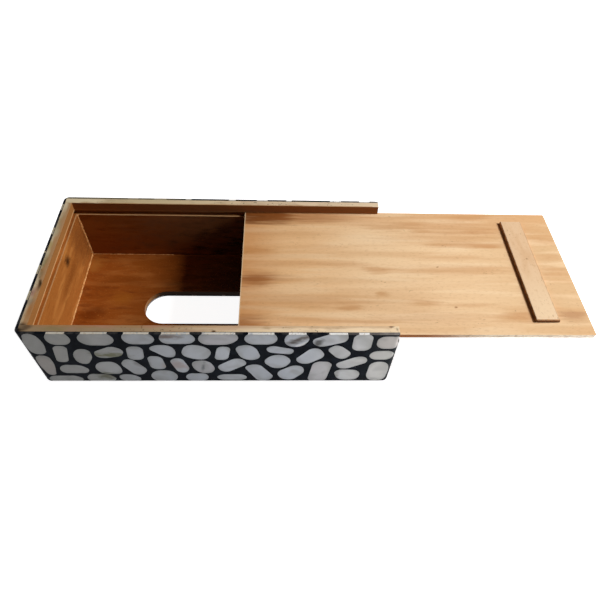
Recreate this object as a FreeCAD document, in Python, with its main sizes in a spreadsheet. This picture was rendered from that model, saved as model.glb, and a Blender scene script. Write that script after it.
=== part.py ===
"""Tissue box with a sliding base panel, in pebble mother-of-pearl inlay on a wooden case.

The case stands upturned on its slotted face, so its open underside is on top. The base panel
runs in grooves below the rim and is drawn out over the low end. Millimetres, +X along the
panel's travel, +Y towards the back board, +Z up. The origin is the middle of the dispensing
slot, in the plane that the case stands on.
"""
import FreeCAD, Part
import math
import os
import random

from FreeCAD import Vector

# Driving dimensions: alias, value in millimetres, meaning.
SIZES = [
    ("case_long", 250.0, "outside length of the case"),
    ("case_deep", 130.0, "outside depth of the case"),
    ("case_tall", 63.0, "outside height of the case"),
    ("corner_bend", 4.0, "radius of the upright corners"),
    ("foot_round", 3.3, "radius of the edges round the slotted face"),
    ("board_thick", 5.0, "front, back and end boards"),
    ("slotted_thick", 4.2, "board with the dispensing slot"),
    ("inlay_thick", 1.8, "black resin on every outside face"),
    ("pebble_thick", 1.4, "pebbles, set flush into the resin"),
    ("slot_long", 127.0, "dispensing slot, end to end"),
    ("slot_wide", 32.5, "dispensing slot, side to side"),
    ("lip_tall", 7.3, "wood left above the panel's groove"),
    ("groove_deep", 2.0, "depth of the groove into the boards"),
    ("ledge_proud", 0.9, "how far the walls below the groove stand proud of the lip above it"),
    ("panel_thick", 3.3, "sliding base panel"),
    ("panel_lift", 0.25, "clearance above and below the panel in its groove"),
    ("panel_play", 0.4, "clearance between each side edge of the panel and its groove"),
    ("panel_gap", 0.3, "clearance between the closed panel and the end of its groove"),
    ("panel_drawn", 136.1, "how far the panel is drawn out of the closed case"),
    ("corner_round", 1.0, "radius of the panel's two outer corners"),
    ("strip_long", 98.5, "pull strip, across the panel"),
    ("strip_wide", 16.5, "pull strip, along the panel"),
    ("strip_tall", 2.2, "pull strip, above the panel"),
    ("strip_inset", 22.8, "from the panel's outer edge to the pull strip"),
    ("strip_round", 0.5, "radius of the pull strip's top edges"),
    ("pebble_gap", 2.2, "resin between neighbouring pebbles in the plain rows"),
    ("pebble_pitch", 20.0, "usual distance from pebble to pebble along a row"),
    ("row_pitch", 15.6, "usual distance from row to row"),
    ("row_wave", 1.1, "how far a row wanders up and down"),
    ("wave_long", 80.0, "length of that wandering along the row"),
    ("rim_cut", 2.0, "how far the top row reaches past the rim that trims it"),
]

# Plain pebbles are uneven oblongs: the most that a corner draws in, as a share of the half length or
# width, and how round it is worn, where 1 is as round as its sides allow.
PEBBLE_UNEVEN = 0.12
PEBBLE_ROUND = (0.72, 0.96)
# Least and most width of a pebble as a share of its length, and the most that it is turned.
PEBBLE_SLIM = (0.55, 0.95)
PEBBLE_TURN = 60.0

# The front face's pebbles, set by hand on a face of this size: each is a ring of corners, given
# as the distance from the closed end and the height above the slotted face.
FRONT_LONG = 250.0
FRONT_TALL = 63.0
FRONT_PEBBLES = [
    # cut by the rim
    [(5, 63), (12.5, 62.5), (15.5, 52), (13, 38.5), (4.5, 38.5), (1.5, 49.5)],
    [(17, 58), (21.5, 65.5), (31, 65.5), (34.5, 56.5), (30.5, 50), (19.5, 50)],
    [(37, 57.5), (43, 65), (58, 65), (62.5, 56), (57, 49.5), (41.5, 49.5)],
    [(66, 59), (70, 65), (84, 65), (88.5, 57.5), (84.5, 51), (69, 51)],
    [(90, 58.5), (93.5, 64.5), (110.5, 64.5), (115, 57.5), (110.5, 51.5), (92.5, 51.5)],
    [(115, 57), (119, 64.5), (140, 64.5), (143, 58), (136, 50.5), (118.5, 50.5)],
    [(145, 57.5), (149, 64.5), (165.5, 64.5), (168.5, 57.5), (164.5, 51), (149, 51)],
    [(171.5, 56.5), (175, 64.5), (186.5, 64.5), (189.5, 57), (184, 48), (174.5, 48.5)],
    [(190.5, 57), (207, 66), (213.5, 65), (215, 55), (197.5, 48), (192, 50.5)],
    [(218, 63.5), (231, 63.5), (231, 43.5), (218, 43.5)],
    [(234, 61), (251.5, 60.5), (250, 46), (234.5, 46)],
    # second row
    [(19.5, 49), (29, 48.5), (24.5, 28.5), (16.5, 28.5)],
    [(34.5, 45.5), (42, 44.5), (42.5, 35), (36.5, 25), (30, 28), (29.5, 38.5)],
    [(44, 41.5), (58, 49), (65, 43.5), (62.5, 36.5), (50, 33.5), (45, 35)],
    [(67, 48.5), (78, 48), (76.5, 31.5), (65.5, 31.5)],
    [(80.5, 46), (87, 50.5), (96.5, 49.5), (99.5, 42.5), (97.5, 35), (92, 34.5)],
    [(106, 50.5), (117, 50), (124, 42.5), (119, 32), (111, 32), (101.5, 37.5)],
    [(127.5, 48.5), (136.5, 48), (133.5, 31.5), (124, 31.5)],
    [(138.5, 48), (148, 51), (153.5, 46.5), (156.5, 34.5), (150, 30.5), (142.5, 34)],
    [(159.5, 46), (164, 49.5), (179.5, 45), (177.5, 38.5), (162, 41)],
    [(180, 32.5), (190.5, 46.5), (196.5, 46), (201.5, 36.5), (189, 26), (183, 27)],
    [(201, 45), (207, 50.5), (211.5, 48.5), (219.5, 39.5), (214, 32.5), (209, 34)],
    [(230.5, 37.5), (234, 43), (246, 43.5), (249, 38), (245.5, 32), (234, 32)],
    # third row
    [(4, 37), (13, 37), (14, 25.5), (10.5, 11), (5.5, 11), (3, 24.5)],
    [(15, 20), (19, 25), (31, 24.5), (36, 19), (33.5, 13.5), (16.5, 13.5)],
    [(39.5, 20), (43.5, 28.5), (55, 29.5), (58.5, 21), (57.5, 12.5), (44, 12)],
    [(58.5, 26), (63, 32.5), (68.5, 31.5), (76.5, 18), (72, 11.5), (66, 11.5)],
    [(78.5, 36.5), (88.5, 36), (90, 19), (79, 19)],
    [(93, 30.5), (98, 34), (102.5, 32.5), (106, 19.5), (102.5, 14), (97, 15)],
    [(107.5, 29.5), (120, 31.5), (124, 20), (121, 13.5), (113, 13.5), (108.5, 19.5)],
    [(125, 23), (138, 33.5), (144, 32.5), (147, 26), (132.5, 15), (127.5, 16.5)],
    [(157, 29), (163.5, 37.5), (171.5, 38.5), (178.5, 30.5), (172.5, 21), (165, 20)],
    [(208.5, 26.5), (223, 36), (229.5, 35.5), (231.5, 28.5), (217, 19.5), (211, 20.5)],
    # along the slotted face
    [(3, 5), (6.5, 10), (24.5, 10), (28.5, 5), (25.5, 1), (6.5, 1)],
    [(30.5, 7), (34, 12.5), (47.5, 12), (52, 6), (49, 1.5), (32.5, 1.5)],
    [(53.5, 9), (57.5, 12), (64.5, 11.5), (69.5, 6.5), (68, 2.5), (55, 3)],
    [(76, 9), (80.5, 17), (92.5, 17.5), (97, 9), (92.5, 1), (80, 1)],
    [(101, 8), (104, 13), (116.5, 13), (118.5, 7.5), (115.5, 2.5), (103.5, 2.5)],
    [(123, 7.5), (127, 11.5), (142.5, 12), (146.5, 7.5), (143, 3.5), (127, 3.5)],
    [(144, 22), (149.5, 25.5), (155.5, 25), (165.5, 8.5), (160.5, 2.5), (153.5, 2.5)],
    [(166.5, 14.5), (179, 24.5), (185.5, 23), (187.5, 15), (178.5, 3.5), (170.5, 5)],
    [(193, 29.5), (207, 29), (203, 1), (189.5, 1.5)],
    [(208.5, 15), (212.5, 18.5), (224.5, 18), (228, 13), (226.5, 4), (212, 3.5)],
    [(233.5, 29), (245.5, 29), (248, 19), (247, 6), (243.5, 2.5), (236, 3), (232.5, 9)],
]
# How round those corners are worn, by the number of corners, where 1 is as round as can be.
FRONT_ROUND = {4: 0.82, 5: 0.9, 6: 0.96, 7: 0.96}

# Least and most length of a plain row's cell, before the row is stretched to fill its face.
CELL_SHARES = (0.7, 1.3)
# A trimmed pebble smaller than this many cubic millimetres is left to the resin.
LEAST_PEBBLE = 16.0

# Nodes, in the order in which they are built.
NODES = [
    "slotted_board", "front_board", "back_board", "closed_end_board", "low_end_board",
    "sliding_panel", "pull_strip",
    "front_resin", "back_resin", "closed_end_resin", "low_end_resin", "slotted_face_resin",
    "front_pebbles", "back_pebbles", "closed_end_pebbles", "low_end_pebbles",
    "slotted_face_pebbles",
]

doc = FreeCAD.newDocument("tissue_box")
sizes = doc.addObject("Spreadsheet::Sheet", "Sizes")
for row, (alias, value, meaning) in enumerate(SIZES, start=1):
    sizes.set(f"A{row}", meaning)
    sizes.set(f"B{row}", str(value))
    sizes.setAlias(f"B{row}", alias)
doc.recompute()

# Places shared by several pieces, as expressions over the sheet.
CASE_HALF = "(Sizes.case_long / 2)"
WOOD_HALF_X = "(Sizes.case_long / 2 - Sizes.inlay_thick)"
WOOD_HALF_Y = "(Sizes.case_deep / 2 - Sizes.inlay_thick)"
ROOM_HALF_X = f"({WOOD_HALF_X} - Sizes.board_thick)"
ROOM_HALF_Y = f"({WOOD_HALF_Y} - Sizes.board_thick)"
LEDGE_HALF_Y = f"({ROOM_HALF_Y} - Sizes.ledge_proud)"
WALL_FOOT = "(Sizes.inlay_thick + Sizes.slotted_thick)"
WALL_TALL = f"(Sizes.case_tall - {WALL_FOOT})"
GROOVE_TALL = "(Sizes.panel_thick + 2 * Sizes.panel_lift)"
GROOVE_FOOT = f"(Sizes.case_tall - Sizes.lip_tall - {GROOVE_TALL})"
PANEL_FOOT = f"({GROOVE_FOOT} + Sizes.panel_lift)"
PANEL_TOP = f"({PANEL_FOOT} + Sizes.panel_thick)"
PANEL_HALF_Y = f"({ROOM_HALF_Y} + Sizes.groove_deep - Sizes.panel_play)"
PANEL_CLOSED = f"(-{ROOM_HALF_X} - Sizes.groove_deep + Sizes.panel_gap)"
PANEL_START = f"({PANEL_CLOSED} + Sizes.panel_drawn)"
PANEL_LONG = f"({CASE_HALF} - {PANEL_CLOSED})"
STRIP_START = f"({PANEL_START} + {PANEL_LONG} - Sizes.strip_inset - Sizes.strip_wide)"


def size(alias):
    """A driving dimension's value, read back from the sheet."""
    return float(sizes.get(alias))


def block(name, along, across, up):
    """A rectangular block; each argument is a pair of expressions, the low end and the length."""
    piece = doc.addObject("Part::Box", name)
    for axis, side, (low, length) in zip("xyz", ("Length", "Width", "Height"), (along, across, up)):
        piece.setExpression(f"Placement.Base.{axis}", low)
        piece.setExpression(side, length)
    return piece


def cut(label, whole, tool):
    """The whole with the tool taken out of it."""
    piece = doc.addObject("Part::Cut", label)
    piece.Base = whole
    piece.Tool = tool
    piece.Label = label
    return piece


def slot_cutter(name, foot, height):
    """The dispensing slot as a solid with round ends, standing on the height foot."""
    straight = "(Sizes.slot_long - Sizes.slot_wide)"
    parts = [block(f"{name}_straight", (f"-{straight} / 2", straight),
                   ("-Sizes.slot_wide / 2", "Sizes.slot_wide"), (foot, height))]
    for end, sign in (("closed", "-"), ("low", "")):
        round_end = doc.addObject("Part::Cylinder", f"{name}_{end}")
        round_end.setExpression("Radius", "Sizes.slot_wide / 2")
        round_end.setExpression("Height", height)
        round_end.setExpression("Placement.Base.x", f"{sign}{straight} / 2")
        round_end.setExpression("Placement.Base.z", foot)
        parts.append(round_end)
    cutter = doc.addObject("Part::MultiFuse", name)
    cutter.Shapes = parts
    return cutter


def make_slotted_board():
    """The board that the case stands on, with the dispensing slot through it."""
    board = block("slotted_blank", (f"-{WOOD_HALF_X}", f"2 * {WOOD_HALF_X}"),
                  (f"-{WOOD_HALF_Y}", f"2 * {WOOD_HALF_Y}"),
                  ("Sizes.inlay_thick", "Sizes.slotted_thick"))
    return cut("slotted_board", board, slot_cutter("slot", "0", WALL_FOOT))


def with_ledge(label, board, along, across):
    """A wall's board, thickened below the groove so that the panel rides on a proud ledge."""
    ledge = block(f"{label}_ledge", along, across, (WALL_FOOT, f"{GROOVE_FOOT} - {WALL_FOOT}"))
    whole = doc.addObject("Part::MultiFuse", f"{label}_whole")
    whole.Shapes = [board, ledge]
    whole.Refine = True
    return whole


def make_long_board(label, low_face, ledge_face, groove_face):
    """The front or back board: it runs the full length, grooved from the closed end outwards."""
    board = block(f"{label}_blank", (f"-{WOOD_HALF_X}", f"2 * {WOOD_HALF_X}"),
                  (low_face, "Sizes.board_thick"), (WALL_FOOT, WALL_TALL))
    board = with_ledge(label, board, (f"-{ROOM_HALF_X}", f"2 * {ROOM_HALF_X}"),
                       (ledge_face, "Sizes.ledge_proud"))
    groove = block(f"{label}_groove",
                   (f"-{ROOM_HALF_X} - Sizes.groove_deep",
                    f"{ROOM_HALF_X} + Sizes.groove_deep + {CASE_HALF}"),
                   (groove_face, "Sizes.groove_deep"), (GROOVE_FOOT, GROOVE_TALL))
    return cut(label, board, groove)


def make_closed_end_board():
    """The full-height end between the long boards, grooved for the closed panel's edge."""
    board = block("closed_end_blank", (f"-{WOOD_HALF_X}", "Sizes.board_thick"),
                  (f"-{ROOM_HALF_Y}", f"2 * {ROOM_HALF_Y}"), (WALL_FOOT, WALL_TALL))
    board = with_ledge("closed_end", board, (f"-{ROOM_HALF_X}", "Sizes.ledge_proud"),
                       (f"-{LEDGE_HALF_Y}", f"2 * {LEDGE_HALF_Y}"))
    groove = block("closed_end_groove", (f"-{ROOM_HALF_X} - Sizes.groove_deep", "Sizes.groove_deep"),
                   (f"-{ROOM_HALF_Y}", f"2 * {ROOM_HALF_Y}"), (GROOVE_FOOT, GROOVE_TALL))
    return cut("closed_end_board", board, groove)


def make_low_end_board():
    """The end that stops at the groove's floor, so that the panel slides out over it."""
    board = block("low_end_board", (ROOM_HALF_X, "Sizes.board_thick"),
                  (f"-{ROOM_HALF_Y}", f"2 * {ROOM_HALF_Y}"),
                  (WALL_FOOT, f"{GROOVE_FOOT} - {WALL_FOOT}"))
    board.Label = "low_end_board"
    return board


def oblong_body(label, along, across, up, radius, picks_edge):
    """A block with some of its edges rounded; picks_edge says of each edge whether it is one."""
    body = doc.addObject("PartDesign::Body", label)
    body.Label = label
    blank = body.newObject("PartDesign::AdditiveBox", f"{label}_blank")
    for axis, side, (low, length) in zip("xyz", ("Length", "Width", "Height"), (along, across, up)):
        blank.setExpression(f"Placement.Base.{axis}", low)
        blank.setExpression(side, length)
    doc.recompute()
    shape = blank.Shape
    names = [f"Edge{number}" for number, edge in enumerate(shape.Edges, start=1)
             if picks_edge(edge.CenterOfMass, shape.BoundBox)]
    rounding = body.newObject("PartDesign::Fillet", f"{label}_round")
    rounding.Base = (blank, names)
    rounding.setExpression("Radius", radius)
    body.Tip = rounding
    return body


def outer_upright(middle, bounds):
    """True of the two upright edges at a block's +X end."""
    return math.isclose(middle.x, bounds.XMax) and math.isclose(middle.z, bounds.Center.z)


def top_edge(middle, bounds):
    """True of the four edges round a block's top."""
    return math.isclose(middle.z, bounds.ZMax)


def make_sliding_panel():
    """The thin base panel, as wide as its grooves and flush with the low end once closed."""
    return oblong_body("sliding_panel", (PANEL_START, PANEL_LONG),
                       (f"-{PANEL_HALF_Y}", f"2 * {PANEL_HALF_Y}"),
                       (PANEL_FOOT, "Sizes.panel_thick"), "Sizes.corner_round", outer_upright)


def make_pull_strip():
    """The slat across the panel's outer end, which the finger pushes against."""
    return oblong_body("pull_strip", (STRIP_START, "Sizes.strip_wide"),
                       ("-Sizes.strip_long / 2", "Sizes.strip_long"),
                       (PANEL_TOP, "Sizes.strip_tall"), "Sizes.strip_round", top_edge)


def rounded_face(corners, shares):
    """A face with straight sides and tangent arcs; a share of 1 rounds up to half of a side."""
    edges, ends = [], []
    for number, (corner, share) in enumerate(zip(corners, shares)):
        sides = [corners[number - 1] - corner, corners[(number + 1) % len(corners)] - corner]
        cut_back = share * min(side.Length for side in sides) / 2
        before, after = [side.normalize() for side in sides]
        half_angle = before.getAngle(after) / 2
        inward = (before + after).normalize()
        nearest = cut_back * (1 - math.sin(half_angle)) / math.cos(half_angle)
        ends.append((corner + before * cut_back, corner + after * cut_back))
        edges.append(Part.Arc(ends[-1][0], corner + inward * nearest, ends[-1][1]).toShape())
    for number, (_, leaving) in enumerate(ends):
        edges.append(Part.LineSegment(leaving, ends[(number + 1) % len(ends)][0]).toShape())
    return Part.Face(Part.Wire(Part.__sortEdges__(edges)))


def pebble_face(middle_x, middle_y, length, width, turn, dice):
    """One pebble's outline, a rounded uneven oblong, as a face in a flat drawing."""
    lean = math.radians(turn)
    corners = []
    for ahead, aside in ((1, 1), (-1, 1), (-1, -1), (1, -1)):
        forward = ahead * length / 2 * (1 - dice.uniform(0, PEBBLE_UNEVEN))
        sideways = aside * width / 2 * (1 - dice.uniform(0, PEBBLE_UNEVEN))
        corners.append(Vector(middle_x + forward * math.cos(lean) - sideways * math.sin(lean),
                              middle_y + forward * math.sin(lean) + sideways * math.cos(lean), 0))
    return rounded_face(corners, [dice.uniform(*PEBBLE_ROUND) for _ in corners])


def front_layout(face_long, face_tall):
    """The front's pebbles, stretched with the face that they were set on."""
    wider, taller = face_long / FRONT_LONG, face_tall / FRONT_TALL
    faces = []
    for ring in FRONT_PEBBLES:
        corners = [Vector(along * wider, up * taller, 0) for along, up in ring]
        faces.append(rounded_face(corners, [FRONT_ROUND[len(ring)]] * len(ring)))
    return faces


def row_layout(face_long, face_tall, seed):
    """Pebbles in wandering rows that fill a plain face, each in a cell of its own."""
    dice = random.Random(seed)
    rows = max(1, round(face_tall / size("row_pitch")))
    columns = max(1, round(face_long / size("pebble_pitch")))
    room_tall = face_tall / rows - size("pebble_gap")
    faces = []
    for row in range(rows):
        shares = [dice.uniform(*CELL_SHARES) for _ in range(columns)]
        start = 0.0
        for share in shares:
            cell_long = face_long * share / sum(shares)
            room_long = cell_long - size("pebble_gap")
            slim = dice.uniform(*PEBBLE_SLIM)
            turn = dice.uniform(-PEBBLE_TURN, PEBBLE_TURN)
            if room_long < room_tall:
                turn += 90
            cosine, sine = math.cos(math.radians(turn)), math.sin(math.radians(turn))
            length = min(room_long / math.hypot(cosine, slim * sine),
                         room_tall / math.hypot(sine, slim * cosine))
            middle = start + cell_long / 2
            wave = size("row_wave") * math.sin(math.tau * middle / size("wave_long"))
            faces.append(pebble_face(middle, face_tall * (row + 0.5) / rows + wave,
                                     length, length * slim, turn, dice))
            start += cell_long
    return faces


def flat_face(points):
    """A face with straight edges in a flat drawing."""
    corners = [Vector(x, y, 0) for x, y in points]
    return Part.Face(Part.makePolygon(corners + corners[:1]))


def rounded_case():
    """The whole case's outside, rounded at its upright corners and round its slotted face."""
    solid = Part.makeBox(size("case_long"), size("case_deep"), size("case_tall"),
                         Vector(-size("case_long") / 2, -size("case_deep") / 2, 0))
    upright = [edge for edge in solid.Edges
               if math.isclose(edge.CenterOfMass.z, size("case_tall") / 2)]
    solid = solid.makeFillet(size("corner_bend"), upright)
    foot = [edge for edge in solid.Edges if math.isclose(edge.BoundBox.ZMax, 0, abs_tol=1e-6)]
    return solid.makeFillet(size("foot_round"), foot)


def add_inlay(wall, outline, pebbles, corner, along, up):
    """Resin with its back on one wall's wood, and pebbles flush in the resin's outer side.

    The flat drawing has its corner at the given place; its X runs along and its Y runs up.
    """
    place = FreeCAD.Placement(corner, FreeCAD.Rotation(along, up, along.cross(up), "ZXY"))
    coat = outline.extrude(Vector(0, 0, size("inlay_thick")))
    coat.Placement = place
    coat = coat.common(case_outside)
    kept, columns = [], []
    for pebble in pebbles:
        pebble.translate(Vector(0, 0, size("inlay_thick") - size("pebble_thick")))
        column = pebble.extrude(Vector(0, 0, 2 * size("pebble_thick")))
        column.Placement = place
        chips = coat.common(column).Solids
        if len(chips) == 1 and chips[0].Volume > LEAST_PEBBLE:
            kept.append(chips[0])
            columns.append(column)
    bed = coat.cut(columns)
    for label, solids in ((f"{wall}_resin", bed.Solids), (f"{wall}_pebbles", kept)):
        node = doc.addObject("Part::Feature", label)
        node.Label = label
        node.Shape = solids[0] if len(solids) == 1 else Part.makeCompound(solids)


def add_inlays():
    """Resin and pebbles on the four walls and the slotted face."""
    inlay, tall = size("inlay_thick"), size("case_tall")
    long, deep = size("case_long"), size("case_deep")
    wood_long, wood_deep = long - 2 * inlay, deep - 2 * inlay
    low = tall - size("lip_tall") - size("panel_thick") - 2 * size("panel_lift")
    topped = tall + size("rim_cut")

    stepped = [(0, 0), (long, 0), (long, low), (long - inlay, low), (long - inlay, tall), (0, tall)]
    add_inlay("front", flat_face(stepped), front_layout(long, tall),
              Vector(-long / 2, -wood_deep / 2, 0), Vector(1, 0, 0), Vector(0, 0, 1))
    mirrored = [(long - x, y) for x, y in reversed(stepped)]
    add_inlay("back", flat_face(mirrored), row_layout(long, topped, "back"),
              Vector(long / 2, wood_deep / 2, 0), Vector(-1, 0, 0), Vector(0, 0, 1))

    closed_end = [(0, 0), (wood_deep, 0), (wood_deep, tall), (0, tall)]
    add_inlay("closed_end", flat_face(closed_end), row_layout(wood_deep, topped, "closed end"),
              Vector(-wood_long / 2, wood_deep / 2, 0), Vector(0, -1, 0), Vector(0, 0, 1))
    low_end = [(0, 0), (wood_deep, 0), (wood_deep, low), (0, low)]
    add_inlay("low_end", flat_face(low_end), row_layout(wood_deep, low, "low end"),
              Vector(wood_long / 2, -wood_deep / 2, 0), Vector(0, 1, 0), Vector(0, 0, 1))

    foot = [(0, 0), (wood_long, 0), (wood_long, wood_deep), (0, wood_deep)]
    slot = doc.getObject("slot").Shape.copy()
    slot.translate(Vector(wood_long / 2, wood_deep / 2, -inlay))
    add_inlay("slotted_face", flat_face(foot).cut(slot), row_layout(wood_long, wood_deep, "foot"),
              Vector(-wood_long / 2, wood_deep / 2, inlay), Vector(1, 0, 0), Vector(0, -1, 0))


def check_and_export():
    """Stop if anything failed to build; otherwise write each node's file."""
    for item in doc.Objects:
        if {"Invalid", "Error"} & set(item.State):
            raise RuntimeError(f"{item.Label} failed: {item.State}")
    shapes = {label: doc.getObjectsByLabel(label)[0].Shape for label in NODES}
    for label, shape in shapes.items():
        if shape.isNull() or not shape.isValid():
            raise RuntimeError(f"{label} has no valid shape")
    os.makedirs("parts", exist_ok=True)
    for label, shape in shapes.items():
        shape.exportStep(f"parts/{label}.step")
        print(f"{label}: {len(shape.Solids)} solids, {shape.Volume / 1000:.2f} cm3")


make_slotted_board()
make_long_board("front_board", f"-{WOOD_HALF_Y}", f"-{ROOM_HALF_Y}",
                f"-{ROOM_HALF_Y} - Sizes.groove_deep")
make_long_board("back_board", ROOM_HALF_Y, LEDGE_HALF_Y, ROOM_HALF_Y)
make_closed_end_board()
make_low_end_board()
make_sliding_panel()
make_pull_strip()
doc.recompute()
case_outside = rounded_case()
add_inlays()
check_and_export()
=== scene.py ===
"""Tissue box with a sliding base panel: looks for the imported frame.

The box stands upturned on its slotted face. Its case is varnished hardwood with a sanded rim, its
outside is black resin set with mother-of-pearl pebbles, and a pale base panel is drawn out of it.
Metres, +X along the panel's travel, +Y towards the back board, +Z up.
"""
import math
import random

import bmesh
import bpy
from mathutils import Matrix, Vector


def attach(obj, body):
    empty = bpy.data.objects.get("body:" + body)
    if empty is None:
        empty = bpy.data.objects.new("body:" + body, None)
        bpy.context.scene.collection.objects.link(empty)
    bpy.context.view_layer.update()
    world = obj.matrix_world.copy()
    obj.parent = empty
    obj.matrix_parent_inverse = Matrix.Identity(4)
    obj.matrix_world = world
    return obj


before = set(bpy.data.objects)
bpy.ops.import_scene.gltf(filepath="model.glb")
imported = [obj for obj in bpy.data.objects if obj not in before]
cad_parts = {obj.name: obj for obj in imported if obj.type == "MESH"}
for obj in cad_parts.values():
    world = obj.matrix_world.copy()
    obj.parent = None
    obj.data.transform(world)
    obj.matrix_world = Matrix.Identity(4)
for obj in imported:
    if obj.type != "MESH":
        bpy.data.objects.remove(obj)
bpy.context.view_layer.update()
scene = bpy.context.scene
scene.view_settings.view_transform = "Standard"

MM = 0.001


def linear(hex_colour):
    """An sRGB hex colour as linear red, green, blue and full alpha."""
    parts = [int(hex_colour[place:place + 2], 16) / 255 for place in (1, 3, 5)]
    return [part / 12.92 if part <= 0.04045 else ((part + 0.055) / 1.055) ** 2.4
            for part in parts] + [1.0]


def add_node(tree, kind, sockets=None, **settings):
    """Adds a node: each socket gets a value, a hex colour or the output that feeds it."""
    node = tree.nodes.new(kind)
    for name, value in settings.items():
        setattr(node, name, value)
    for key, value in (sockets or {}).items():
        if isinstance(value, bpy.types.NodeSocket):
            tree.links.new(value, node.inputs[key])
        else:
            node.inputs[key].default_value = linear(value) if isinstance(value, str) else value
    return node


# ---------------------------------------------------------------- camera, lamps and room

CAMERA_PLACE = Vector((0.041925, -0.255206, 0.342722))
CAMERA_YAW = 0.0729
CAMERA_DOWN = 0.9061
CAMERA_ROLL = 0.0632
CAMERA_LENS = 31.214

camera = bpy.data.objects.new("camera", bpy.data.cameras.new("camera"))
camera.data.lens = CAMERA_LENS
camera.data.sensor_width = 36
camera.matrix_world = (Matrix.Translation(CAMERA_PLACE)
                       @ Matrix.Rotation(-CAMERA_YAW, 4, "Z")
                       @ Matrix.Rotation(math.pi / 2 - CAMERA_DOWN, 4, "X")
                       @ Matrix.Rotation(CAMERA_ROLL, 4, "Z"))
scene.collection.objects.link(camera)
scene.camera = camera


def hang_lamp(name, place, target, watts, width):
    """A square lamp turned towards what it lights."""
    lamp = bpy.data.objects.new(name, bpy.data.lights.new(name, "AREA"))
    lamp.data.energy = watts
    lamp.data.size = width
    lamp.location = place
    lamp.rotation_mode = "QUATERNION"
    lamp.rotation_quaternion = (Vector(target) - Vector(place)).to_track_quat("-Z", "Y")
    lamp.visible_camera = False
    scene.collection.objects.link(lamp)


# A window's light comes low from the panel's end and falls off along the box. Two weak ones stand
# by the low end's front and behind the closed end, where light comes back from the room.
hang_lamp("window_lamp", (0.922, 0.03, 0.678), (0.05, 0.0, 0.03), 14.0, 0.36)
hang_lamp("front_lamp", (0.36, -0.30, 0.08), (0.08, -0.065, 0.03), 0.36, 0.14)
hang_lamp("back_lamp", (-0.55, 0.60, 0.12), (-0.05, 0.03, 0.03), 2.2, 0.3)


def seen_ray(tree):
    """1 for rays that show a surface or the room: straight, mirrored or through glass."""
    path = add_node(tree, "ShaderNodeLightPath")
    mirrored = add_node(tree, "ShaderNodeMath", {0: path.outputs["Is Camera Ray"],
                                                 1: path.outputs["Is Glossy Ray"]},
                        operation="MAXIMUM")
    return add_node(tree, "ShaderNodeMath", {0: mirrored.outputs[0],
                                             1: path.outputs["Is Transmission Ray"]},
                    operation="MAXIMUM").outputs[0]


ROOM_LIGHT = 0.025
FLOOR_HALF = 4.0
FLOOR_GLOW_NEAR, FLOOR_GLOW_FAR = 0.93, 1.0
GLOW_RISES_FROM, GLOW_RISES_TO = 0.4, 1.0
TABLE_DROP = 0.05 * MM

room = bpy.data.worlds.new("pale_room")
room.use_nodes = True
room.node_tree.nodes.clear()
tree = room.node_tree
dim = add_node(tree, "ShaderNodeBackground", {"Color": "#FFFFFF", "Strength": ROOM_LIGHT})
bright = add_node(tree, "ShaderNodeBackground", {"Color": "#FFFFFF", "Strength": 1.0})
mixed = add_node(tree, "ShaderNodeMixShader",
                 {0: seen_ray(tree), 1: dim.outputs[0], 2: bright.outputs[0]})
add_node(tree, "ShaderNodeOutputWorld", {"Surface": mixed.outputs[0]})
scene.world = room

# The table: matt white paper. It is seen white, and a faint shadow stays on it near the box.
# Further off its glow rises, so that no horizon shows where it ends.
paper = bpy.data.materials.new("white_paper")
paper.use_nodes = True
tree = paper.node_tree
tree.nodes.clear()
matt = add_node(tree, "ShaderNodeBsdfDiffuse", {"Color": "#E6E6E6"})
away = add_node(tree, "ShaderNodeVectorMath",
                {0: add_node(tree, "ShaderNodeTexCoord").outputs["Object"]}, operation="LENGTH")
level = add_node(tree, "ShaderNodeMapRange",
                 {"Value": away.outputs["Value"], "From Min": GLOW_RISES_FROM,
                  "From Max": GLOW_RISES_TO, "To Min": FLOOR_GLOW_NEAR, "To Max": FLOOR_GLOW_FAR})
glow = add_node(tree, "ShaderNodeEmission", {"Color": "#FFFFFF", "Strength": level.outputs[0]})
none = add_node(tree, "ShaderNodeEmission", {"Strength": 0.0})
glow_seen = add_node(tree, "ShaderNodeMixShader",
                     {0: seen_ray(tree), 1: none.outputs[0], 2: glow.outputs[0]})
both = add_node(tree, "ShaderNodeAddShader", {0: matt.outputs[0], 1: glow_seen.outputs[0]})
add_node(tree, "ShaderNodeOutputMaterial", {"Surface": both.outputs[0]})

# It lies a hair below the box, so that the two don't share a plane.
corners = [(x * FLOOR_HALF, y * FLOOR_HALF, -TABLE_DROP)
           for x, y in ((-1, -1), (1, -1), (1, 1), (-1, 1))]
table = bpy.data.objects.new("table", bpy.data.meshes.new("table"))
table.data.from_pydata(corners, [], [(0, 1, 2, 3)])
table.data.materials.append(paper)
scene.collection.objects.link(table)


# ---------------------------------------------------------------- how a finish is built up

def new_finish(name, **constants):
    """A material with its shader, on which values that don't vary are set."""
    material = bpy.data.materials.new(name)
    material.use_nodes = True
    shader = material.node_tree.nodes["Principled BSDF"]
    for socket, value in constants.items():
        shader.inputs[socket.replace("_", " ")].default_value = value
    return material, material.node_tree, shader


def paint(tree, shader, colour, bumps=None, depth_mm=0.0):
    """Gives a shader its colour, and fine relief where the surface isn't smooth."""
    tree.links.new(colour, shader.inputs["Base Color"])
    if bumps is not None:
        relief = add_node(tree, "ShaderNodeBump", {"Height": bumps, "Distance": depth_mm * MM})
        tree.links.new(relief.outputs[0], shader.inputs["Normal"])


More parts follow.
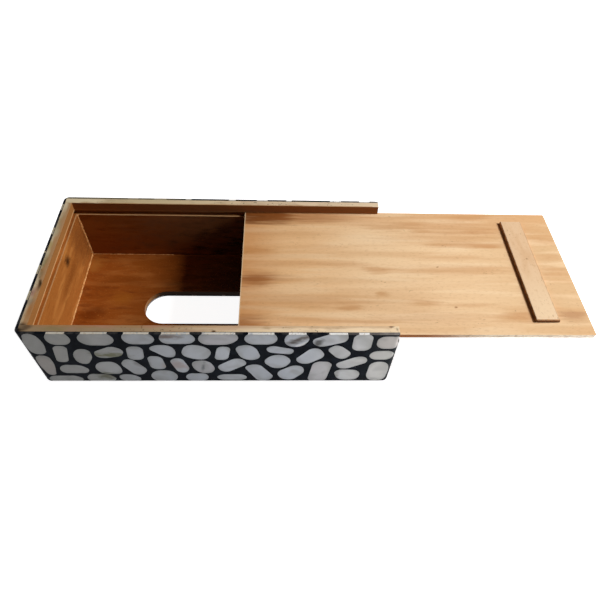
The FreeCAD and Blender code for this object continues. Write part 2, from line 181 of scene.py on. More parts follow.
def flecks(tree, place, size_mm, detail=2.0, distortion=0.0):
    """Noise whose flecks are about so long along x, y and z."""
    spot = add_node(tree, "ShaderNodeMapping", {"Vector": place,
                                                "Scale": [1000 / length for length in size_mm]})
    return add_node(tree, "ShaderNodeTexNoise",
                    {"Vector": spot.outputs[0], "Scale": 1.0, "Detail": detail,
                     "Roughness": 0.55, "Distortion": distortion}).outputs["Fac"]


def lay(tree, under, over, value, low, high, share=1.0):
    """Lays one colour over another as a value runs from low to high, up to a share."""
    amount = add_node(tree, "ShaderNodeMapRange", {"Value": value, "From Min": low,
                                                   "From Max": high, "To Max": share},
                      interpolation_type="SMOOTHSTEP")
    return add_node(tree, "ShaderNodeMix", {0: amount.outputs[0], 6: under, 7: over},
                    data_type="RGBA").outputs[2]


# A stain fades with distance, in shares of its reach and raised by noise: gone here, full there.
STAIN_RAGGED, STAIN_GONE, STAIN_FULL = 1.2, 1.6, 0.75


def stain(tree, under, over, place, ragged, middle_mm, reach_mm, share, turn=(0, 0, 0)):
    """Lays a soft mark over a colour: full in its middle, gone at its reach, its edge ragged."""
    spot = add_node(tree, "ShaderNodeMapping",
                    {"Vector": place, "Location": [length * MM for length in middle_mm],
                     "Rotation": turn, "Scale": [length * MM for length in reach_mm]},
                    vector_type="TEXTURE")
    away = add_node(tree, "ShaderNodeVectorMath", {0: spot.outputs[0]}, operation="LENGTH")
    edge = add_node(tree, "ShaderNodeMath",
                    {0: ragged, 1: STAIN_RAGGED, 2: away.outputs["Value"]},
                    operation="MULTIPLY_ADD")
    return lay(tree, under, over, edge.outputs[0], STAIN_GONE, STAIN_FULL, share)


def wander(tree, place, size_mm, by_mm):
    """A point's place, shifted by soft noise, so that what is laid there has a wavy outline."""
    spot = add_node(tree, "ShaderNodeMapping", {"Vector": place,
                                                "Scale": [1000 / length for length in size_mm]})
    noise = add_node(tree, "ShaderNodeTexNoise", {"Vector": spot.outputs[0], "Scale": 1.0,
                                                  "Detail": 1.0})
    centred = add_node(tree, "ShaderNodeVectorMath",
                       {0: noise.outputs["Color"], 1: (0.5, 0.5, 0.5)}, operation="SUBTRACT")
    return add_node(tree, "ShaderNodeVectorMath",
                    {0: centred.outputs[0], 1: [length * MM for length in by_mm], 2: place},
                    operation="MULTIPLY_ADD").outputs[0]


def surface_place(tree):
    """A point's place on the box, and that place's x, y and z."""
    place = add_node(tree, "ShaderNodeTexCoord").outputs["Object"]
    return place, add_node(tree, "ShaderNodeSeparateXYZ", {0: place}).outputs


def facing_up(tree):
    """How far a point faces up: 1 where the surface is level, 0 where it is upright."""
    normal = add_node(tree, "ShaderNodeTexCoord").outputs["Normal"]
    return add_node(tree, "ShaderNodeSeparateXYZ", {0: normal}).outputs["Z"]


def shade_across(tree, colour, at, tones):
    """Lays tones one after the other: colour, axis, where it starts, where it is full, share."""
    for tone, axis, start, full, share in tones:
        colour = lay(tree, colour, tone, at[axis], start, full, share)
    return colour


# ---------------------------------------------------------------- the panel and its strip

# Aged reddish where it stays inside the box and palest in the middle. Towards the strip and the
# low end it is darker tan, partly painted shade that evens out the window lamp's stronger light
# there. Towards the back, under the back board's lip, it is darker too.
PANEL_TONES_WITH_PAINTED_SHADE = [("#F0C18D", "X", 0.014, 0.055, 1.0), ("#F6D1A4", "X", 0.05, 0.12, 1.0),
               ("#D9B386", "X", 0.15, 0.262, 1.0), ("#D79F6A", "Y", 0.036, 0.058, 0.55)]

# Where the panel's and the strip's edges are, each range running into what it is named after.
BEHIND_FRONT_EDGE = (-0.0597, -0.0595)
PANEL_INNER_ARRIS_HIGHLIGHT = (0.0172, 0.0165)
FRONT_EDGE_PALES = (0.14, 0.19)
STRIP_OUTER_ARRIS = (0.2373, 0.2376)
STRIP_NEAR_ARRIS = (-0.0476, -0.0480)
STRIP_NEAR_END = (-0.0486, -0.0491)
STRIP_HALF_LONG = 0.0492
# Where the strip's cast shadow falls beside it, painted darker there: painted shadow.
STRIP_SHADOW_LINE, STRIP_SHADOW_HALF = 0.2208, 0.0012

# Marks on the panel's broad face: middle x and y, reach along x and y, share of the stain.
# The strongest are dark brown, the next ones brown and the rest tan.
DARK_BROWN_FROM, BROWN_FROM = 0.9, 0.45
STAIN_SPREAD, TAN_GAIN = 1.15, 1.2
# The darkest marks lie along the back edge, under the back board's lip.
PANEL_MARKS = [
    (27, -11, 22, 9.0, 0.8), (24, -12, 18, 6, 0.5), (46, -12, 20, 5, 0.2),
    (30, 56, 38, 12, 1.0), (30, 53.5, 30, 8, 0.95), (66, 53, 50, 8, 0.55),
    (19, -51, 22, 10, 0.7), (37, -55, 26, 5, 0.4),
    (52, 35, 48, 5, 0.2), (22, 16, 22, 4, 0.35), (60, 20, 50, 5, 0.15),
    (62, 4, 70, 4, 0.22), (115, -1, 15, 5, 0.35), (95, 2, 30, 3, 0.15),
    (65, -30, 60, 6, 0.22), (93, -38, 12, 3, 0.4), (60, -34, 24, 5, 0.15),
    (115, -33, 50, 3, 0.25), (147, -33.5, 14, 3, 0.3), (178, -34, 30, 2.4, 0.2),
    (118, -24.6, 7, 3, 0.4), (95, -48.5, 60, 2.4, 0.25),
    (203, 56, 34, 4, 0.35), (185, 43, 70, 10, 0.33), (197, 39.5, 26, 3.5, 0.35),
    (155, 40, 12, 4, 0.25), (135, 44, 34, 5, 0.25), (190, 24, 50, 5, 0.35),
    (203, 24, 16, 2.8, 0.3), (180, 10, 50, 3, 0.2), (180, -1.5, 70, 7, 0.3),
    (178, 32, 70, 10, 0.25), (152, -46, 60, 8, 0.25),
    (212, -44.5, 22, 7, 0.45), (250, -43.6, 16, 7, 0.5), (254, 30, 16, 7, 0.25),
    (252, 12, 14, 5, 0.2), (252, -2, 16, 9, 0.22),
    (168, -36, 1.6, 1.2, 0.8), (163.3, 2.2, 1.6, 1.0, 0.7),
]


def plain_panel():
    """Plain-sawn softwood, planed and left bare: honey tan in soft bands along the grain."""
    finish, tree, shader = new_finish("planed_bare_softwood", Roughness=0.62, IOR=1.5,
                                      Specular_IOR_Level=0.15)
    place, at = surface_place(tree)
    # The panel's tones: the darker tan towards the low end is partly painted shade.
    colour = shade_across(tree, "#DA9E66", at, PANEL_TONES_WITH_PAINTED_SHADE)
    # Broad soft bands and paler streaks along the grain.
    waved = wander(tree, place, (110, 30, 60), (0, 5, 0))
    soft = flecks(tree, waved, (170, 10, 60), 1.6)
    colour = lay(tree, colour, "#D09A64", soft, 0.46, 0.72, 0.36)
    pale = flecks(tree, waved, (80, 8, 60), 1.8)
    ripe = add_node(tree, "ShaderNodeMapRange", {"Value": at["X"], "From Min": 0.03,
                                                 "From Max": 0.12, "To Min": 0.2, "To Max": 0.4})
    colour = lay(tree, colour, "#FDE0B8", pale, 0.48, 0.68, ripe.outputs[0])
    marked = wander(tree, place, (26, 9, 60), (12, 4, 0))
    ragged = flecks(tree, place, (34, 2.6, 60), 4.0)
    for x, y, reach_x, reach_y, share in PANEL_MARKS:
        brown = share > BROWN_FROM
        tone = "#723E16" if share > DARK_BROWN_FROM else "#9A5A28" if brown else "#BD7C40"
        colour = stain(tree, colour, tone, marked, ragged, (x, y, 55),
                       (reach_x * STAIN_SPREAD, reach_y * STAIN_SPREAD, 900),
                       share if brown else TAN_GAIN * share)
    # Short open pores, most of them in patches where the wood has aged.
    mottle = flecks(tree, place, (3.6, 1.5, 1.5), 4.0)
    colour = lay(tree, colour, "#A9713F", mottle, 0.46, 0.8, 0.2)
    pores = flecks(tree, place, (1.8, 0.9, 0.9), 0.0)
    open_wood = add_node(tree, "ShaderNodeMapRange",
                         {"Value": flecks(tree, place, (24, 9, 60), 1.0), "From Min": 0.56,
                          "From Max": 0.7, "To Max": 0.4})
    colour = lay(tree, colour, "#8A5A34", pores, 0.7, 0.8, open_wood.outputs[0])
    # A brown band is painted along the strip's inner side, where the strip's cast shadow falls:
    # painted shadow.
    in_strip_shadow = add_node(tree, "ShaderNodeMath",
                        {0: at["X"], 1: STRIP_SHADOW_LINE, 2: STRIP_SHADOW_HALF}, operation="COMPARE")
    beside = add_node(tree, "ShaderNodeMath", {0: at["Y"], 1: 0.0, 2: STRIP_HALF_LONG},
                      operation="COMPARE")
    colour = lay(tree, colour, lay(tree, colour, "#A26431", beside.outputs[0], 0.0, 1.0, 0.9),
                 in_strip_shadow.outputs[0], 0.0, 1.0)
    # The sawn edges: the front one brown, then pale outside the box, the others tan, all with
    # open pores. The inner end's arris is painted pale: a painted highlight.
    edge = lay(tree, "#A86A3C", "#FAE8D0", at["X"], *FRONT_EDGE_PALES)
    edge = lay(tree, edge, "#B08C66", at["Y"], *BEHIND_FRONT_EDGE)
    edge = lay(tree, edge, "#94683F", pores, 0.6, 0.72, 0.4)
    edge = lay(tree, edge, "#8F6B49", flecks(tree, place, (9, 3.4, 1.2), 2.0), 0.5, 0.66, 0.35)
    side = add_node(tree, "ShaderNodeMapRange",
                    {"Value": facing_up(tree), "From Min": 0.7, "From Max": 0.3})
    colour = lay(tree, colour, edge, side.outputs[0], 0.0, 1.0)
    colour = lay(tree, colour, "#E9C9A0", at["X"], *PANEL_INNER_ARRIS_HIGHLIGHT, 0.8)
    paint(tree, shader, colour, mottle, 0.05)
    return finish


def plain_strip():
    """The same softwood, paler, with its sides stained brown by the glue under it."""
    finish, tree, shader = new_finish("planed_bare_softwood_strip", Roughness=0.6, IOR=1.5,
                                      Specular_IOR_Level=0.15)
    place, at = surface_place(tree)
    colour = lay(tree, "#DDBA94", "#D0A77D", flecks(tree, place, (9, 30, 60), 3.0), 0.42, 0.66, 0.6)
    colour = lay(tree, colour, "#E6C8A2", at["Y"], 0.01, -0.045)
    mottle = flecks(tree, place, (1.8, 3.0, 1.8), 4.0)
    colour = lay(tree, colour, "#B88C60", mottle, 0.5, 0.78, 0.35)
    worn = add_node(tree, "ShaderNodeMapRange", {"Value": flecks(tree, place, (9, 14, 60), 1.0),
                                                 "From Min": 0.5, "From Max": 0.66, "To Max": 0.6})
    colour = lay(tree, colour, "#8C6038", flecks(tree, place, (1.0, 1.6, 1.0), 0.0), 0.66, 0.78,
                 worn.outputs[0])
    # Glue and dirt have browned its sides and, most of all, its near end; thin dark lines also run
    # along the top's outer and near arrises.
    sides = lay(tree, "#B37236", "#7F4D20", mottle, 0.42, 0.6)
    sides = lay(tree, sides, "#4A2A10", at["Y"], *STRIP_NEAR_END, 0.8)
    colour = lay(tree, colour, sides, at["X"], *STRIP_OUTER_ARRIS, 0.45)
    near = add_node(tree, "ShaderNodeMath", {0: mottle, 1: 0.8 * MM, 2: at["Y"]},
                    operation="MULTIPLY_ADD")
    colour = lay(tree, colour, sides, near.outputs[0], *STRIP_NEAR_ARRIS, 0.9)
    colour = lay(tree, colour, sides, facing_up(tree), 0.75, 0.3)
    paint(tree, shader, colour, mottle, 0.05)
    return finish


# ---------------------------------------------------------------- the case's boards

# The case's rim, the foot and top of its groove, and how far its lips stand from the middle.
RIM_AT = 0.063
GROOVE_FOOT, GROOVE_TALL = 0.0519, 0.0557
ROOM_HALF_X, ROOM_HALF_Y = 0.1182, 0.0582
# Where the slot's walls start below the room's floor, and how far in its near end is pale.
SLOT_WALL_TOP = (0.0058, 0.0054)
SLOT_NEAR_END = (-0.062, -0.052)
# The amber on the rim, in shares of its width: gone so far outside its edge, full so far inside.
AMBER_GONE, AMBER_FULL = 0.35, 0.47


def case_board(name, along, inner_face, tones, lip_tone, rim_tones_with_painted_shade, stains_and_painted_light=(), rim_stains=()):
    """A hardwood board: amber varnish brushed on inside, its rim sanded bare.

    inner_face is where it stands, on which axis, how wide and how much its rim is amber, and how
    pale the arrises above and below its groove are, partly worn and partly painted highlight. tones
    are the varnished wood's main, light and dark colours, and the rim's tones the bare wood's at
    the closed end and the low end, darker at the closed end partly as painted shade. The stains,
    and the marks of painted light and shade, are middle, reach, colour and share.
    """
    finish, tree, shader = new_finish(name, IOR=1.5, Specular_IOR_Level=0.05)
    place, at = surface_place(tree)
    main, light, dark = tones
    half, axis, amber_mm, amber_share, lip_wear_and_highlight, ledge_wear_and_highlight = inner_face

    def along_grain(long_mm, wide_mm, detail, distortion=0.4):
        size = [long_mm if axis == along else wide_mm for axis in "xyz"]
        return flecks(tree, place, size, detail, distortion)

    soft = along_grain(46, 9, 3.0)
    mottle = along_grain(15, 4.5, 3.0)
    fine = along_grain(6, 1.1, 3.0, 0.0)
    colour = lay(tree, main, light, soft, 0.46, 0.66, 0.8)
    colour = lay(tree, colour, dark, mottle, 0.52, 0.74, 0.5)
    colour = lay(tree, colour, dark, fine, 0.5, 0.74, 0.15)
    marked = wander(tree, place, (14, 14, 14), (7, 7, 5))
    # Marks on the varnished wood: real stains, and on some boards painted shade and painted light.
    for middle, reach, over, share in stains_and_painted_light:
        colour = stain(tree, colour, over, marked, mottle, middle, reach, share)
    # Pale specks under a millimetre, drawn as large as will show: painted glints of the varnish.
    varnish_glints = flecks(tree, place, (0.9, 0.9, 0.9), 0.0)
    colour = lay(tree, colour, light, varnish_glints, 0.72, 0.78, 0.8)

    # The slot's sawn walls are near-black, and pale at the near end.
    sawn = lay(tree, "#B98250", "#38230F", at["X"], *SLOT_NEAR_END)
    colour = lay(tree, colour, sawn, at["Z"], *SLOT_WALL_TOP)
    # Above the groove the lip is tan, and the two arrises that the panel rubs are painted pale:
    # partly wear, partly painted highlight.
    inward = add_node(tree, "ShaderNodeMath", {0: at[axis]}, operation="ABSOLUTE").outputs[0]
    colour = lay(tree, colour, lip_tone, at["Z"], GROOVE_TALL, GROOVE_TALL + 1.0 * MM, 0.8)
    lip_foot = add_node(tree, "ShaderNodeMath",
                        {0: at["Z"], 1: GROOVE_TALL + 0.2 * MM, 2: 0.7 * MM}, operation="COMPARE")
    colour = lay(tree, colour, "#D9AE7C", lip_foot.outputs[0], 0.0, 1.0, lip_wear_and_highlight)
    ledge = add_node(tree, "ShaderNodeMath", {0: at["Z"], 1: GROOVE_FOOT, 2: 0.4 * MM},
                     operation="COMPARE")
    worn = lay(tree, colour, "#D9AE7C", ledge.outputs[0], 0.0, 1.0, ledge_wear_and_highlight)
    colour = lay(tree, colour, worn, inward, half - 0.1 * MM, half - 0.3 * MM)

    # The sanded rim: dry and dusty, its inner arris torn and soaked amber, which fades outwards.
    # The rim darkens towards the closed end: partly greyer wood, partly painted shade that deepens
    # the window lamp's fall-off.
    bare = lay(tree, rim_tones_with_painted_shade[0], rim_tones_with_painted_shade[1], at["X"], -0.07, 0.06)
    bare = lay(tree, bare, "#9A7B58", soft, 0.5, 0.7, 0.3)
    bare = lay(tree, bare, "#8A6A4A", mottle, 0.56, 0.76, 0.3)
    bare = lay(tree, bare, "#5B4630", fine, 0.64, 0.78, 0.4)
    dents = add_node(tree, "ShaderNodeMapRange", {"Value": soft, "From Min": 0.5, "From Max": 0.62,
                                                  "To Max": 0.7})
    bare = lay(tree, bare, "#3E2E20", flecks(tree, place, (1.3, 1.3, 1.3), 0.0), 0.7, 0.78,
               dents.outputs[0])
    torn = add_node(tree, "ShaderNodeMath", {0: mottle, 1: -2 * amber_mm * MM, 2: inward},
                    operation="MULTIPLY_ADD")
    amber = lay(tree, bare, "#B8834F", torn.outputs[0], half + AMBER_GONE * amber_mm * MM,
                half - AMBER_FULL * amber_mm * MM, amber_share)
    other, reach = ("X", ROOM_HALF_X) if axis == "Y" else ("Y", ROOM_HALF_Y)
    along_it = add_node(tree, "ShaderNodeMath", {0: at[other], 1: 0.0, 2: reach},
                        operation="COMPARE")
    bare = lay(tree, bare, amber, along_it.outputs[0], 0.0, 1.0)
    for middle, reach, over, share in rim_stains:
        bare = stain(tree, bare, over, marked, mottle, middle, reach, share)
    flat = add_node(tree, "ShaderNodeMapRange",
                    {"Value": facing_up(tree), "From Min": 0.3, "From Max": 0.8})
    on_rim = add_node(tree, "ShaderNodeMapRange",
                      {"Value": at["Z"], "From Min": RIM_AT - 0.4 * MM,
                       "From Max": RIM_AT - 0.1 * MM, "To Max": flat.outputs[0]})
    colour = lay(tree, colour, bare, on_rim.outputs[0], 0.0, 1.0)
    rough = add_node(tree, "ShaderNodeMapRange", {"Value": on_rim.outputs[0], "To Min": 0.5,
                                                  "To Max": 0.8})
    tree.links.new(rough.outputs[0], shader.inputs["Roughness"])
    paint(tree, shader, colour, mottle, 0.08)
    return finish


# ---------------------------------------------------------------- resin and pebbles

# Where the inlay of the back and of the two ends begins, each range running outwards.
BACK_INLAY = (0.0625, 0.0633)
CLOSED_END_INLAY = (-0.1225, -0.1233)
LOW_END_INLAY = (0.1233, 0.1236)

# The shell is greyest at the closed end, bluish in the middle and white near the low end, partly
# its own colour and partly painted shade following the light's fall-off. The low end's own face is
# painted greyer shell, as painted shade against the window lamp's full light.
PEARL_TONES_WITH_PAINTED_SHADE = [("#D7DCE5", "X", -0.12, 0.0, 1.0), ("#ECEAE7", "X", 0.05, 0.12, 1.0),
               ("#B4B1AC", "X", *LOW_END_INLAY, 1.0)]


def black_resin():
    """Polyester resin cast black round the pebbles: blue-black and polished, with painted sheen and
    sanded tops.
    """
    finish, tree, shader = new_finish("cast_black_resin", IOR=1.5, Specular_IOR_Level=0.01,
                                      Roughness=0.42)
    place, at = surface_place(tree)
    mottle = flecks(tree, place, (7, 7, 7), 3.0)
    colour = lay(tree, "#0D1118", "#1B2028", mottle, 0.4, 0.68)
    # Towards the low end the resin is painted greyer as sheen, and its sanded tops paler: partly
    # sanding, partly painted sheen.
    dust_and_sheen = lay(tree, colour, "#8F8882", at["X"], 0.07, 0.12)
    colour = lay(tree, colour, "#34373A", at["X"], 0.095, 0.125, 0.6)
    dust_and_sheen = lay(tree, dust_and_sheen, "#4A4744", mottle, 0.4, 0.6, 0.6)
    # The back edge is worn and dusty towards the closed end.
    worn = lay(tree, dust_and_sheen, "#857B64", at["X"], -0.025, -0.05, 0.85)
    dust_and_sheen = lay(tree, dust_and_sheen, worn, at["Y"], *BACK_INLAY)
    top = add_node(tree, "ShaderNodeMapRange", {"Value": at["Z"], "From Min": RIM_AT - 0.6 * MM,
                                                "From Max": RIM_AT - 0.2 * MM})
    colour = lay(tree, colour, dust_and_sheen, top.outputs[0], 0.0, 1.0)
    paint(tree, shader, colour)
    return finish


def pearl():
    """Mother-of-pearl pebbles, cut from shell and polished: grey-white, each its own shade."""
    finish, tree, shader = new_finish("polished_mother_of_pearl", IOR=1.53, Roughness=0.38,
                                      Specular_IOR_Level=0.12)
    place, at = surface_place(tree)
    dice = add_node(tree, "ShaderNodeSeparateXYZ", {0: add_node(
        tree, "ShaderNodeAttribute", attribute_name="chip_dice").outputs["Vector"]})
    # Shell tones along the box, partly painted shade.
    colour = shade_across(tree, "#B2B1AE", at, PEARL_TONES_WITH_PAINTED_SHADE)
    colour = lay(tree, colour, "#BBB8B1", dice.outputs[0], 0.5, 1.0, 0.4)
    colour = lay(tree, colour, "#EDEFF3", dice.outputs[1], 0.5, 1.0, 0.3)
    colour = lay(tree, colour, "#D9C8C2", dice.outputs[2], 0.7, 1.0, 0.35)
    # Layers of nacre cut across: soft cloudy streaks, set off from chip to chip.
    cloud = add_node(tree, "ShaderNodeTexNoise",
                     {"Vector": place, "W": dice.outputs[2], "Scale": 1000 / 14.0, "Detail": 1.0,
                      "Distortion": 0.6}, noise_dimensions="4D")
    colour = lay(tree, colour, "#A5A5A2", cloud.outputs["Fac"], 0.45, 0.75, 0.45)
    # Each chip's edge is painted darker: painted shade, standing in for a chip domed a little by
    # the polishing.
    middle = add_node(tree, "ShaderNodeAttribute", attribute_name="chip_middle")
    reach = add_node(tree, "ShaderNodeAttribute", attribute_name="chip_reach")
    off = add_node(tree, "ShaderNodeVectorMath", {0: place, 1: middle.outputs["Vector"]},
                   operation="SUBTRACT")
    part = add_node(tree, "ShaderNodeVectorMath", {0: off.outputs[0], 1: reach.outputs["Vector"]},
                    operation="DIVIDE")
    out = add_node(tree, "ShaderNodeVectorMath", {0: part.outputs[0]}, operation="LENGTH")
    colour = lay(tree, colour, "#84847F", out.outputs["Value"], 0.6, 1.2, 0.35)
    ragged = flecks(tree, place, (6, 6, 3), 2.0)
    for middle_mm, reach_mm, over, share, tilt in PEBBLE_MARKS:
        colour = stain(tree, colour, over, place, ragged, middle_mm, reach_mm, share, (0, tilt, 0))
    # Sawn tops along the rim: dry and warm, their edges chipped by the saw, and dusty along the
    # back and the closed end, where they blend with the wood.
    chipped = add_node(tree, "ShaderNodeMath", {0: flecks(tree, place, (2.4, 2.4, 1.2), 1.0),
                                                1: 2.4 * MM, 2: at["Z"]},
                       operation="MULTIPLY_ADD")
    top = add_node(tree, "ShaderNodeMapRange",
                   {"Value": chipped.outputs[0], "From Min": RIM_AT + 0.6 * MM,
                    "From Max": RIM_AT + 1.0 * MM})
    # Towards the low end the sawn tops turn near white: partly their own colour, partly painted
    # highlight.
    sawn = lay(tree, "#DDD5C6", "#FFFDF9", at["X"], -0.04, 0.07)
    dusty = lay(tree, sawn, "#AA9E84", at["X"], -0.02, -0.05, 0.9)
    sawn = lay(tree, sawn, dusty, at["Y"], *BACK_INLAY)
    sawn = lay(tree, sawn, "#AFA07C", at["X"], *CLOSED_END_INLAY, 0.85)
    sawn = lay(tree, sawn, "#B8A68C", flecks(tree, place, (1.6, 1.6, 1.6), 1.0), 0.55, 0.68, 0.5)
    colour = lay(tree, colour, sawn, top.outputs[0], 0.0, 1.0)
    paint(tree, shader, colour)
    return finish


# Shell that isn't plain white: middle, reach, colour, share and tilt of each mark.
PEBBLE_MARKS = [
    ((56.5, -64.5, 56.5), (15.0, 6, 4.6), "#5A4E45", 0.95, -0.62),
    ((59.0, -64.5, 51.0), (9.0, 6, 2.0), "#FFFFFF", 0.9, -0.62),
    ((69.8, -64.5, 52.5), (4.0, 6, 8.0), "#4E4D4B", 0.9, 0.5),
    ((-29.0, -64.5, 60.0), (13.0, 6, 4.4), "#7C6457", 0.8, 0.0),
    ((-70.6, -64.5, 37.6), (17.0, 6, 4.6), "#74754F", 0.9, 0.05),
    ((-79.5, -64.5, 9.5), (10.5, 6, 7.5), "#5F5E40", 0.9, 0.0),
    ((84.4, -64.5, 9.0), (4.2, 6, 9.0), "#7C7B70", 0.6, 0.2),
    ((-9.4, -64.5, 22.0), (2.0, 6, 9.0), "#75797D", 0.8, 0.2),
    ((-52.0, -64.5, 27.0), (9.0, 6, 6.0), "#6A6462", 0.6, 0.3),
    ((-28.0, -64.5, 24.0), (12.0, 6, 8.0), "#C0A8A2", 0.6, 0.0),
]


# ---------------------------------------------------------------- dressing the frame

# Every chip is thinner than this, which tells the way across it.
CHIP_THICK = 1.5 * MM


def dress(nodes, finish):
    """Puts a finish in the material slots of nodes."""
    for name in nodes:
        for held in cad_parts[name].material_slots:
            held.material = finish


def know_chips(name):
    """Tells every point of a pebble node its own chip's middle and reach, and three numbers."""
    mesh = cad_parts[name].data
    group = list(range(len(mesh.vertices)))

    def root(index):
        while group[index] != index:
            group[index] = group[group[index]]
            index = group[index]
        return index

    met = {}
    for vertex in mesh.vertices:
        spot = tuple(round(value * 1e6) for value in vertex.co)
        group[root(vertex.index)] = root(met.setdefault(spot, vertex.index))
    for edge in mesh.edges:
        group[root(edge.vertices[0])] = root(edge.vertices[1])
    chips = {}
    for vertex in mesh.vertices:
        chips.setdefault(root(vertex.index), []).append(vertex)
    dice = random.Random(name)
    facts = {fact: mesh.attributes.new(fact, "FLOAT_VECTOR", "POINT")
             for fact in ("chip_dice", "chip_middle", "chip_reach")}
    for chip in sorted(chips.values(), key=lambda chip: min(tuple(v.co) for v in chip)):
        low = [min(vertex.co[axis] for vertex in chip) for axis in range(3)]
        high = [max(vertex.co[axis] for vertex in chip) for axis in range(3)]
        told = {"chip_dice": (dice.random(), dice.random(), dice.random()),
                "chip_middle": [(a + b) / 2 for a, b in zip(low, high)],
                # Half the chip's size, but ten times that across it, so that only its face counts.
                "chip_reach": [(b - a) / 2 * (10 if b - a < CHIP_THICK else 1)
                               for a, b in zip(low, high)]}
        for fact, value in told.items():
            for vertex in chip:
                facts[fact].data[vertex.index].vector = value


AMBER = ("#96551B", "#B06A28", "#74390E")
FRONT_FACE = (ROOM_HALF_Y, "Y", 1.7, 0.4, 0.5, 1.0)
BACK_FACE = (ROOM_HALF_Y, "Y", 0.8, 0.7, 0.1, 1.0)
END_FACE = (ROOM_HALF_X, "X", 3.6, 0.8, 0.75, 0.6)
dress(["sliding_panel"], plain_panel())
dress(["pull_strip"], plain_strip())
dress(["slotted_board"], case_board(
    "varnished_slotted_board", "x", BACK_FACE, ("#98501B", "#AE6830", "#6E3210"), AMBER[0],
    ("#A89375", "#D8BF9F"),
    stains_and_painted_light=[((-104, -7, 6), (18, 9, 9), "#6B2E08", 0.7),
            ((-84, 9, 6), (14, 10, 9), "#A8621F", 0.6),
            ((-100, 20, 6), (16, 8, 9), "#7A3A0E", 0.4),
            ((-66, 48, 6), (44, 14, 9), "#8A4814", 0.4),
            ((-112, 46, 6), (9, 14, 9), "#BA7A36", 0.5),
            ((-84, 28, 6), (24, 8, 9), "#7C3D10", 0.5),
            ((-84, -40, 6), (36, 12, 9), "#7C3D10", 0.5),
            # The near-black mark under the panel's end is painted shade, deepening the shade on the
            # floor.
            ((20, 20, 6), (78, 70, 9), "#2E1608", 0.8)]))
dress(["front_board"], case_board(
    "varnished_front_board", "x", FRONT_FACE, AMBER, "#A06A3C", ("#AD9170", "#FCE0BA"),
    rim_stains=[((-74, -59.2, 63), (18, 2.4, 9), "#BE8C72", 0.7),
                ((-36, -59.4, 63), (16, 2.4, 9), "#C08E74", 0.7),
                ((-14, -62, 63), (22, 2, 9), "#B78E70", 0.5),
                ((14, -60, 63), (22, 3, 9), "#CFA384", 0.5),
                ((-118, -60, 63), (6, 4, 9), "#4A3626", 0.7),
                ((-101, -60.5, 63), (14, 3, 9), "#9A8658", 0.6),
                ((-88, -61, 63), (8, 3, 9), "#B28C74", 0.5),
                ((-125, -63, 63), (10, 6.5, 9), "#17120F", 1.0),
                ((118, -58.8, 63), (3.4, 1.4, 9), "#6B452B", 0.8),
                ((122, -61.0, 63), (1.2, 2.0, 9), "#6B452B", 0.6),
                ((0.5, -63.0, 63), (1.8, 1.6, 9), "#4A2A16", 0.9)]))
dress(["back_board"], case_board(
    "varnished_back_board", "x", BACK_FACE, ("#8B511F", "#9C6029", "#703D12"), "#84502C",
    ("#D8C298", "#EAD0AE"),
    stains_and_painted_light=[((-20, 57, 40), (90, 9, 50), "#8A6040", 0.7),
            # The near-black mark on the back wall's lower right is painted shade, deepening the
            # panel's shadow there.
            ((60, 57, -10), (150, 9, 88), "#1E120A", 1.0)],
    rim_stains=[((-114, 62, 63), (36, 6, 9), "#FBE8C2", 0.8)]))
dress(["closed_end_board"], case_board(
    "varnished_closed_end_board", "y", END_FACE, ("#A6652D", "#BD7C3E", "#814818"), "#97693C",
    ("#EAD5B2", "#EAD5B2"),
    stains_and_painted_light=[((-117.3, 12, 30), (9, 34, 8), "#80461A", 0.7),
            # The pale band along the groove is painted light, lifting the groove out of the lip's
            # shade.
            ((-121.0, 0, 53.8), (3, 90, 3), "#D2904E", 0.9),
            ((-117.3, 15.5, 42.2), (9, 7.0, 5.6), "#452610", 1.0),
            ((-117.3, 48, 34), (9, 26, 40), "#75401A", 0.8)],
    rim_stains=[((-123, 34, 63), (4, 24, 9), "#A09670", 0.45),
                ((-122.6, 12, 63), (3.4, 7, 9), "#B89C58", 0.7),
                ((-122.8, -4, 63), (3.4, 13, 9), "#978A5C", 0.6),
                ((-121.0, -15, 63), (3.4, 7, 9), "#7C6C4C", 0.5),
                ((-120.4, -24, 63), (2.8, 5.0, 9), "#3E280E", 0.95),
                ((-122.4, -31, 63), (3, 6, 9), "#B07F70", 0.8),
                ((-122, -40, 63), (3.4, 7, 9), "#94826A", 0.6),
                ((-119.2, -47, 63), (4, 9, 9), "#B87C48", 0.7),
                ((-120.5, -58.5, 63), (5, 5, 9), "#2E2118", 0.9),
                ((-125, -63, 63), (6, 7, 9), "#17120F", 1.0)]))
dress(["low_end_board"], case_board(
    "varnished_low_end_board", "y", END_FACE, AMBER, AMBER[0], ("#C8B08A", "#DDC2A0")))

WALLS = ("front", "back", "closed_end", "low_end", "slotted_face")
dress([f"{wall}_resin" for wall in WALLS], black_resin())
for wall in WALLS:
    know_chips(f"{wall}_pebbles")
dress([f"{wall}_pebbles" for wall in WALLS], pearl())


# ---------------------------------------------------------------- glue in the room's corners

# The room's closed end, back wall and floor, where the beads lie, in mm.
WALL_X, WALL_Y, FLOOR_Z = -117.3, 57.3, 6
BEAD_STEP = 1.5 * MM
ARC_POINTS = 5
RING_POINTS = ARC_POINTS + 1


def glue_finish():
    """Wood glue wiped along a joint and varnished over: pale amber, glossy."""
    finish, tree, shader = new_finish("dried_wood_glue", Roughness=0.4, IOR=1.47,
                                      Specular_IOR_Level=0.3)
    place = add_node(tree, "ShaderNodeTexCoord").outputs["Object"]
    colour = lay(tree, "#E0A76A", "#BC7C44", flecks(tree, place, (3, 3, 3), 2.0), 0.4, 0.62)
    paint(tree, shader, colour)
    return finish


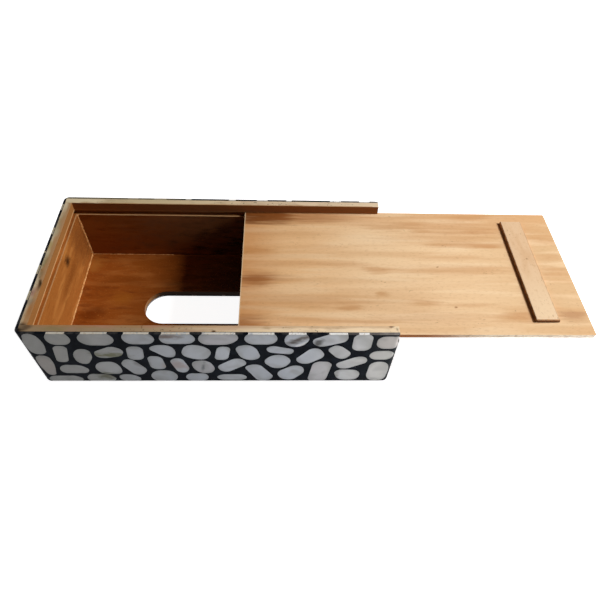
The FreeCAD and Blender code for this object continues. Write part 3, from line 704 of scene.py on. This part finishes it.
def glue_bead(name, start_mm, end_mm, one_way, other_way, wide_mm, finish):
    """A closed bead of glue in a corner, from start to end, that swells and thins on its way."""
    start, end = Vector(start_mm) * MM, Vector(end_mm) * MM
    one_way, other_way = Vector(one_way), Vector(other_way)
    steps = max(8, int((end - start).length / BEAD_STEP))
    dice = random.Random(name)
    points, faces = [], []
    for step in range(steps + 1):
        size = wide_mm * MM * (0.75 + 0.5 * dice.random())
        middle = start.lerp(end, step / steps)
        points.append(middle)
        for turn in range(ARC_POINTS):
            angle = math.pi / 2 * turn / (ARC_POINTS - 1)
            sunk = 0.8 if 0 < turn < ARC_POINTS - 1 else 1.0
            points.append(middle + size * (math.cos(angle) * one_way + math.sin(angle) * other_way)
                          * sunk)
    for first in range(0, steps * RING_POINTS, RING_POINTS):
        for turn in range(RING_POINTS):
            here, after = first + turn, first + (turn + 1) % RING_POINTS
            faces.append((here, after, after + RING_POINTS, here + RING_POINTS))
    last = steps * RING_POINTS
    faces += [tuple(range(RING_POINTS - 1, -1, -1)), tuple(range(last, last + RING_POINTS))]
    bead = bpy.data.objects.new(name, bpy.data.meshes.new(name))
    bead.data.from_pydata(points, [], faces)
    skin = bmesh.new()
    skin.from_mesh(bead.data)
    bmesh.ops.recalc_face_normals(skin, faces=skin.faces)
    skin.to_mesh(bead.data)
    skin.free()
    bead.data.shade_smooth()
    bead.data.materials.append(finish)
    scene.collection.objects.link(bead)
    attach(bead, "case")


glue = glue_finish()
glue_bead("closed_end_floor_glue", (WALL_X, -WALL_Y, FLOOR_Z), (WALL_X, WALL_Y, FLOOR_Z),
          (1, 0, 0), (0, 0, 1), 0.9, glue)
glue_bead("closed_end_back_glue", (WALL_X, WALL_Y, FLOOR_Z), (WALL_X, WALL_Y, 51.5),
          (1, 0, 0), (0, -1, 0), 1.0, glue)
glue_bead("back_floor_glue", (WALL_X, WALL_Y, FLOOR_Z), (-48, WALL_Y, FLOOR_Z),
          (0, 0, 1), (0, -1, 0), 0.45, glue)
